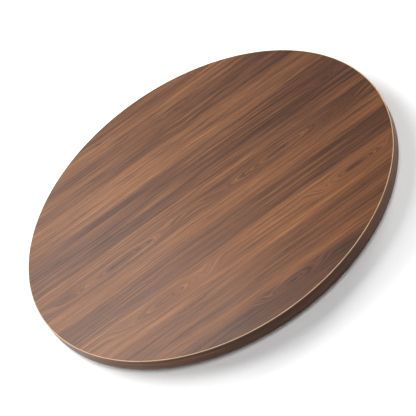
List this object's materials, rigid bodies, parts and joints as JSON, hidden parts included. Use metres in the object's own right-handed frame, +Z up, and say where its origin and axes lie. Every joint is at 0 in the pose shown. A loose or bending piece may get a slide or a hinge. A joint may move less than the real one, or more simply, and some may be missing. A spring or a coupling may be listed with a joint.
{
  "type": "lazy susan turntable",
  "caption": "Round laminated tabletop turntable on a low ball bearing of flat aluminium rings with rubber feet; its board turns without limit.",
  "frame": {"origin": "on the turning axis, in the plane that the rubber feet stand on", "axes": "+Z up along the turning axis; +X along the decor's grain, and through the first rubber foot"},
  "size_m": [0.76, 0.76, 0.043],
  "materials": {
    "laminate": "satin printed walnut decor",
    "edge_band": "satin printed walnut decor with cream trimmed edges",
    "particleboard": "raw particleboard",
    "aluminium": "turned and clear anodised",
    "zinc_steel": "zinc plated",
    "ball_steel": "polished bearing steel",
    "cage_nylon": "moulded nylon",
    "rubber": "moulded black rubber"
  },
  "bodies": {
    "base": {"base_ring": "aluminium", "cover_ring": "aluminium", "clamp_screws": "zinc_steel", "rubber_foot_1": "rubber", "rubber_foot_2": "rubber", "rubber_foot_3": "rubber", "rubber_foot_4": "rubber", "rubber_foot_5": "rubber", "rubber_foot_6": "rubber", "rubber_foot_7": "rubber", "rubber_foot_8": "rubber", "foot_washers": "zinc_steel", "foot_screws": "zinc_steel"},
    "turntable": {"board_core": "particleboard", "top_laminate": "laminate", "underside_laminate": "laminate", "edge_band": "edge_band", "turning_ring": "aluminium", "board_screws": "zinc_steel"},
    "cage": {"cage_segment_1": "cage_nylon", "cage_segment_2": "cage_nylon", "cage_segment_3": "cage_nylon", "cage_segment_4": "cage_nylon", "ball_set_1": "ball_steel", "ball_set_2": "ball_steel", "ball_set_3": "ball_steel", "ball_set_4": "ball_steel"}
  },
  "joints": [
    {"name": "turn", "type": "hinge", "parent": "base", "child": "turntable", "pos_m": [0, 0, 0.0115], "axis": [0, 0, 1], "continuous": true},
    {"name": "cage_turn", "type": "hinge", "parent": "base", "child": "cage", "pos_m": [0, 0, 0.0115], "axis": [0, 0, 1], "continuous": true}
  ],
  "couplings": [
    {"joint": "cage_turn", "follows": "turn", "ratio": 0.4931}
  ]
}
